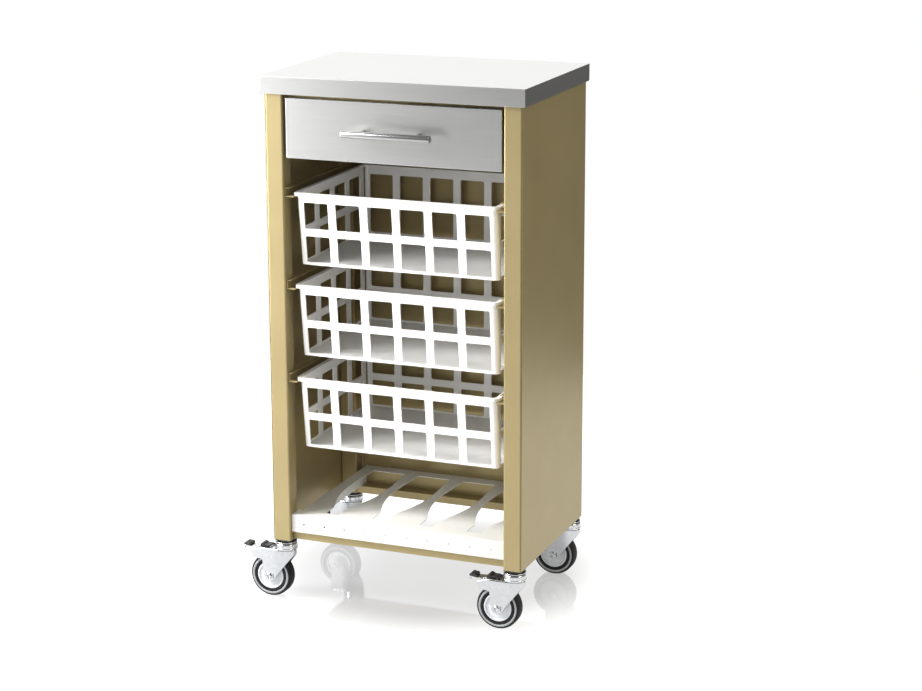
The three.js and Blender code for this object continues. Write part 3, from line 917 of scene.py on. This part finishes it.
def casters():
    forks = {braked: fork_mesh(braked) for braked in (True, False)}
    housing, seal, race, kingpin = housing_mesh(), seal_mesh(), race_mesh(), kingpin_mesh()
    axle, hub, tyre = axle_mesh(), hub_mesh(), tyre_mesh()
    bands = {side: band_mesh(side) for side in (-1, 1)}
    for end in ENDS:
        for side in SIDES:
            corner = f"{end}_{side}"
            swivel = joint_place(f"caster_swivel_{corner}")
            centre = Vector((swivel.x, swivel.y, 0))
            hub_place = joint_place(f"wheel_spin_{corner}")
            braked = end == "front"
            turning, rolling = f"caster_{corner}", f"wheel_{corner}"
            fork = add_piece(
                f"fork_{corner}", forks[braked], "chrome", turning, centre,
                [f"caster_fork_{corner}"],
            )
            thicken(fork, fork_sheet)
            soften(fork, 0.35)
            add_piece(f"swivel_head_{corner}", housing, "chrome", turning, centre)
            add_piece(f"dust_seal_{corner}", seal, "black_plastic", "cabinet", centre)
            add_piece(f"upper_race_{corner}", race, "chrome", "cabinet", centre)
            add_piece(f"kingpin_{corner}", kingpin, "chrome", "cabinet", centre,
                      [f"caster_stem_{corner}"])
            add_piece(f"axle_rivet_{corner}", axle, "chrome", turning, hub_place,
                      [f"caster_axle_{corner}"])
            add_piece(f"hub_{corner}", hub, "wheel_hub", rolling, hub_place,
                      [f"wheel_hub_{corner}"])
            add_piece(f"tyre_{corner}", tyre, "tyre", rolling, hub_place,
                      [f"wheel_tyre_{corner}"])
            # the grey bands in the tyre walls are partly a painted highlight
            for wall, band in bands.items():
                name = f"tyre_band_{corner}_{'outer' if wall < 0 else 'inner'}"
                add_piece(name, band, "wheel_hub", rolling, hub_place)
            if braked:
                brake_pedal(side, centre, f"pedal_{side}")


# ---- CAD nodes that stay --------------------------------------------------------------------


def dress(node, slot):
    """Joins a CAD node's facets, rounds its edges and gives it the finish of its slot."""
    mesh = node.data
    if "custom_normal" in mesh.attributes:
        mesh.attributes.remove(mesh.attributes["custom_normal"])
    for polygon in mesh.polygons:
        polygon.use_smooth = True
    mesh.materials.clear()
    mesh.materials.append(looks[slot])
    weld = node.modifiers.new("joined", "WELD")
    weld.merge_threshold = 0.02 * MM
    flat = node.modifiers.new("facets", "DECIMATE")
    flat.decimate_type = "DISSOLVE"
    flat.angle_limit = math.radians(1)
    widths = {"worktop_shell": 1.6, "drawer_front": 1.1}
    soften(node, widths.get(node.name, 0.35), segments=3 if node.name in widths else 2)


def dress_remaining_nodes():
    for part in frame["record"]["subparts"]:
        node = frame["nodes"][part["node"]]
        if not node.hide_render:
            dress(node, part["material_slot"])


# ---- Studio ---------------------------------------------------------------------------------

camera_place = (1.47117, -3.51060, 1.42840)
camera_azimuth, camera_elevation, camera_roll = 0.4083, 0.2335, -0.0101
camera_lens, camera_sensor = 90.64, 36.0
camera_shift = (0.0826, -0.058)


def camera():
    data = bpy.data.cameras.new("camera")
    data.lens = camera_lens
    data.sensor_width = camera_sensor
    data.shift_x, data.shift_y = camera_shift
    data.clip_end = 50
    eye = bpy.data.objects.new("camera", data)
    bpy.context.scene.collection.objects.link(eye)
    turn = Matrix.Rotation(camera_azimuth, 4, "Z")
    tip = Matrix.Rotation(QUARTER - camera_elevation, 4, "X")
    roll = Matrix.Rotation(camera_roll, 4, "Z")
    eye.matrix_world = Matrix.Translation(camera_place) @ turn @ tip @ roll
    bpy.context.scene.camera = eye


def softbox(name, place, target, width, height, brightness, color=(1, 1, 1)):
    """A rectangular light of a given brightness, aimed at a target."""
    data = bpy.data.lights.new(name, "AREA")
    data.shape = "RECTANGLE"
    data.size, data.size_y = width, height
    data.energy = brightness * math.pi * width * height
    data.color = color
    light = bpy.data.objects.new(name, data)
    bpy.context.scene.collection.objects.link(light)
    light.location = place
    aim = Vector(target) - Vector(place)
    light.rotation_euler = aim.to_track_quat("-Z", "Y").to_euler()
    light.visible_camera = False
    return light


def lights():
    """Glossy surfaces don't mirror the front fill or the overhead light."""
    warm = (1.0, 0.92, 0.72)
    softbox("key", (-1.55, -1.25, 2.1), (0, 0, 0.5), 1.0, 1.0, 22)
    softbox("left_strip", (-0.9, -0.5, 0.8), (-0.2, -0.14, 0.7), 0.2, 0.9, 34)
    softbox("left_reflector", (-1.7, -2.0, 0.8), (-0.2, 0, 0.5), 1.1, 1.8, 1.5)
    softbox("right_fill", (2.2, -0.3, 1.9), (0.2, 0, 0.8), 1.2, 1.2, 6.5, warm)
    front = softbox("front_fill", (0.3, -2.6, 1.1), (0, 0, 0.45), 1.4, 1.4, 2.2)
    front.visible_glossy = False
    overhead = softbox("overhead", (0.2, 0.6, 2.6), (0, 0, 0.8), 2.0, 1.6, 1.6)
    overhead.visible_glossy = False


def surroundings():
    """White to the eye; to everything else, a dim room with a bright wall behind the cart."""
    world = bpy.data.worlds.new("studio")
    bpy.context.scene.world = world
    world.use_nodes = True
    tree = world.node_tree
    tree.nodes.clear()
    place = add_node(tree, "TexCoord")
    to_wall = Vector((-0.55, 0.83, 0)).normalized()
    dim, bright, floor_share = 0.23, 1.5, 0.25
    horizon = 0.04  # half the height over which the floor's share fades in
    facing = tree.nodes.new("ShaderNodeVectorMath")
    facing.operation = "DOT_PRODUCT"
    facing.inputs[1].default_value = to_wall
    wall = add_node(tree, "MapRange", From_Min=0.55, From_Max=0.9, To_Min=dim, To_Max=bright)
    split = add_node(tree, "SeparateXYZ")
    above = add_node(tree, "MapRange", From_Min=-horizon, From_Max=horizon, To_Min=floor_share)
    room = tree.nodes.new("ShaderNodeMath")
    room.operation = "MULTIPLY"
    tree.links.new(place.outputs["Generated"], facing.inputs[0])
    tree.links.new(place.outputs["Generated"], split.inputs[0])
    tree.links.new(facing.outputs["Value"], wall.inputs["Value"])
    tree.links.new(split.outputs["Z"], above.inputs["Value"])
    tree.links.new(wall.outputs["Result"], room.inputs[0])
    tree.links.new(above.outputs["Result"], room.inputs[1])
    ray = add_node(tree, "LightPath")
    strength = add_node(tree, "Mix", B=1.0)
    background = add_node(tree, "Background", Color=(1, 1, 1, 1))
    output = add_node(tree, "OutputWorld")
    tree.links.new(ray.outputs["Is Camera Ray"], strength.inputs["Factor"])
    tree.links.new(room.outputs[0], strength.inputs["A"])
    tree.links.new(strength.outputs["Result"], background.inputs["Strength"])
    tree.links.new(background.outputs[0], output.inputs["Surface"])


def glossy_floor():
    """Pale glossy floor with a glow that keeps it white. The glow is dimmer under and around the cart, which
    paints a shadow there beneath the real shadow and reflection.
    """
    centre, scale = 0.1, 0.3  # of the painted shadow, where the glow is dim, in metres: its middle along Y, and its size
    # glow strength inside the painted shadow under the cart, and away from it
    dim, bright = 0.47, 1.0
    painted_shadow_to, bright_from = 0.7, 1.25  # distances from the middle, in scales: where the painted shadow ends and the full glow begins
    side, front, rear, drop = 1400, -3000, 1400, 0.2  # millimetres
    material = new_material("white_floor", (0.12, 0.12, 0.12), 0.05)
    tree = material.node_tree
    shader = shader_of(material)
    shader.inputs["Emission Color"].default_value = (1, 1, 1, 1)
    vary(material, "Roughness", grain(material, 300), 0.03, 0.07)
    place = add_node(tree, "TexCoord")
    # the glow is dimmed by distance from the middle under the cart: a painted shadow on the floor
    near = add_node(
        tree, "Mapping", Location=(0, -centre / scale, 0), Scale=(1 / scale, 1 / scale, 1),
    )
    away = tree.nodes.new("ShaderNodeVectorMath")
    away.operation = "LENGTH"
    painted_shadow = add_node(
        tree, "MapRange", From_Min=painted_shadow_to, From_Max=bright_from, To_Min=dim, To_Max=bright,
    )
    painted_shadow.interpolation_type = "SMOOTHSTEP"
    tree.links.new(place.outputs["Object"], near.inputs["Vector"])
    tree.links.new(near.outputs["Vector"], away.inputs[0])
    tree.links.new(away.outputs["Value"], painted_shadow.inputs["Value"])
    tree.links.new(painted_shadow.outputs["Result"], shader.inputs["Emission Strength"])
    shape = bmesh.new()
    corners = ((-side, front), (side, front), (side, rear), (-side, rear))
    shape.faces.new([shape.verts.new((x, y, 0)) for x, y in corners])
    mesh = to_mesh("floor_mesh", shape)
    mesh.materials.append(material)
    floor = bpy.data.objects.new("floor", mesh)
    bpy.context.scene.collection.objects.link(floor)
    floor.location.z = -drop * MM


# ---- Everything -----------------------------------------------------------------------------

handle_bar()
handle_standoffs()
baskets()
bottle_shelf()
casters()
dress_remaining_nodes()
camera()
lights()
surroundings()
glossy_floor()
bpy.context.scene.view_settings.view_transform = "Standard"
